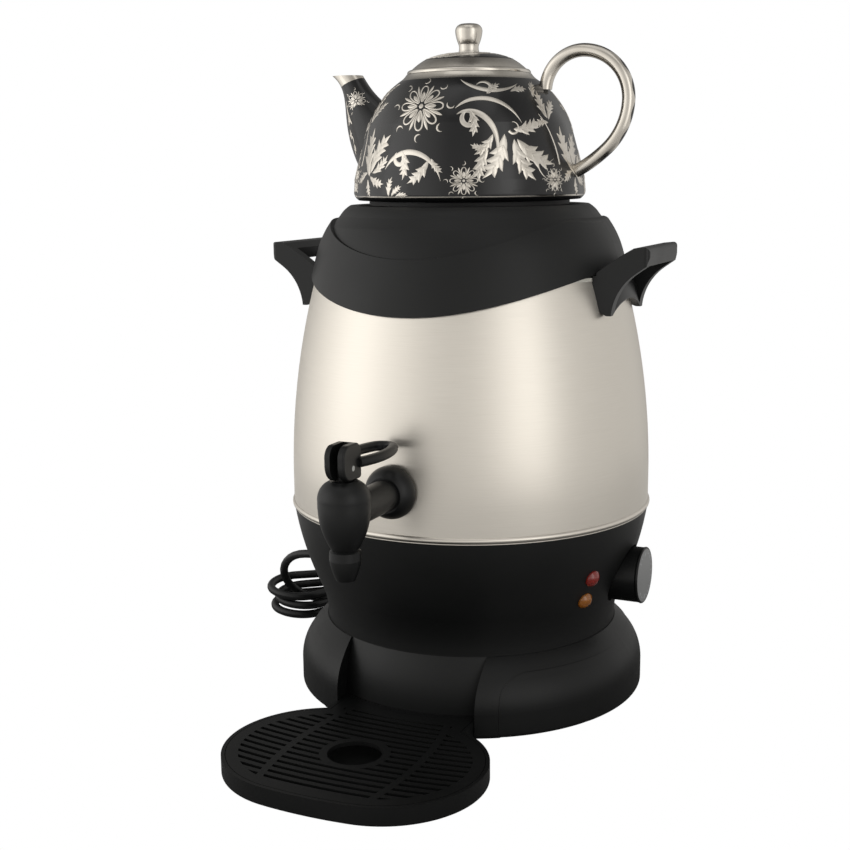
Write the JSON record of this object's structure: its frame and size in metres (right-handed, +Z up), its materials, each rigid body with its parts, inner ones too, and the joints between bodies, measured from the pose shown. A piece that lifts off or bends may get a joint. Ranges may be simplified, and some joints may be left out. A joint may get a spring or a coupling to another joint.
{
  "type": "electric tea urn",
  "caption": "Electric hot water urn with a teapot on its lift-off cap, a lever tap, a drip tray with grille, a thermostat knob, two lamps, side handles and a mains cord.",
  "frame": {"origin": "the barrel's axis at counter level, under the centre foot", "axes": "+Z up along the barrel; the tap and the drip tray face -Y; the knob faces +X"},
  "size_m": [0.3168, 0.43, 0.4181],
  "materials": {
    "black_plastic": "fine matt grain",
    "handle_plastic": "satin",
    "tap_plastic": "satin",
    "tray_plastic": "satin",
    "knob_plastic": "satin",
    "knob_grey": "satin",
    "brushed_steel": "fine brushing round the barrel",
    "pan_steel": "drawn",
    "zinc_steel": "zinc plated",
    "element_steel": "dull sheath",
    "cast_aluminium": "as cast",
    "brass_nut": "turned",
    "pin_brass": "nickelled brass",
    "bakelite": "moulded phenolic",
    "lens_red": "clear tinted",
    "lens_amber": "clear tinted",
    "lamp_glass": "clear",
    "silicone": "translucent silicone",
    "silicone_dark": "black silicone",
    "feet_rubber": "black rubber",
    "cord_rubber": "black pvc sheath",
    "tie_plastic": "black strap",
    "porcelain_black": "black glaze with silver lustre ornament",
    "ceramic": "glazed ceramic",
    "wire_pvc": "pvc insulation"
  },
  "bodies": {
    "stand": {"base_skirt": "black_plastic", "base_plate": "black_plastic", "rubber_feet": "feet_rubber", "base_screws": "zinc_steel", "lower_housing": "black_plastic", "tie_rods": "zinc_steel", "tie_nuts": "zinc_steel", "barrel": "brushed_steel", "tank_bottom": "pan_steel", "heater_plate": "cast_aluminium", "heating_element": "element_steel", "thermal_cutout": "bakelite", "thermostat": "bakelite", "lens_red": "lens_red", "lens_amber": "lens_amber", "neon_lamp_red": "lamp_glass", "neon_lamp_amber": "lamp_glass", "handle_right": "handle_plastic", "handle_left": "handle_plastic", "handle_screws": "zinc_steel", "tap_body": "tap_plastic", "tap_bonnet": "tap_plastic", "tap_gaskets": "silicone", "tap_nut": "brass_nut", "tap_spring": "zinc_steel", "cord_gland": "cord_rubber", "power_cord_lead": "cord_rubber", "cord_hank": "cord_rubber", "power_cord_tail": "cord_rubber", "hank_tie": "tie_plastic", "plug_body": "cord_rubber", "plug_pins": "pin_brass", "terminal_block": "ceramic", "supply_leads": "wire_pvc", "heater_leads": "wire_pvc"},
    "knob": {"knob": "knob_plastic", "knob_face": "knob_grey", "thermostat_spindle": "zinc_steel"},
    "stem": {"tap_stem": "tap_plastic", "tap_seat_cup": "silicone"},
    "lever": {"tap_lever": "tap_plastic", "lever_pin": "zinc_steel"},
    "lid": {"urn_lid": "black_plastic", "lid_liner": "pan_steel", "lid_gasket": "silicone", "seat_ring": "silicone_dark"},
    "teapot": {"teapot_body": "porcelain_black", "teapot_spout": "porcelain_black", "teapot_handle": "porcelain_black"},
    "pot_lid": {"teapot_lid": "porcelain_black"},
    "tray": {"drip_tray": "tray_plastic"},
    "grille": {"drip_grille": "tray_plastic"}
  },
  "joints": [
    {"name": "knob_turn", "type": "hinge", "parent": "stand", "child": "knob", "pos_m": [0.1, 0, 0.082], "axis": [1, 0, 0], "range_deg": [0, 270]},
    {"name": "stem_lift", "type": "slide", "parent": "stand", "child": "stem", "axis": [0, 0, 1], "range_m": [0, 0.004], "deforming": ["tap_spring"]},
    {"name": "lever_tilt", "type": "hinge", "parent": "stem", "child": "lever", "pos_m": [0, -0.172, 0.176], "axis": [1, 0, 0], "range_deg": [0, 90]},
    {"name": "lid_lift", "type": "slide", "parent": "stand", "child": "lid", "axis": [0, 0, 1], "range_m": [0, 0.08]},
    {"name": "teapot_lift", "type": "slide", "parent": "lid", "child": "teapot", "axis": [0, 0, 1], "range_m": [0, 0.1]},
    {"name": "pot_lid_lift", "type": "slide", "parent": "teapot", "child": "pot_lid", "axis": [0, 0, 1], "range_m": [0, 0.05]},
    {"name": "tray_slide", "type": "slide", "parent": "stand", "child": "tray", "axis": [0, -1, 0], "range_m": [0, 0.06]},
    {"name": "grille_lift", "type": "slide", "parent": "tray", "child": "grille", "axis": [0, 0, 1], "range_m": [0, 0.04]}
  ],
  "couplings": [
    {"joint": "stem_lift", "follows": "lever_tilt", "m_per_rad": 0.0025465}
  ]
}
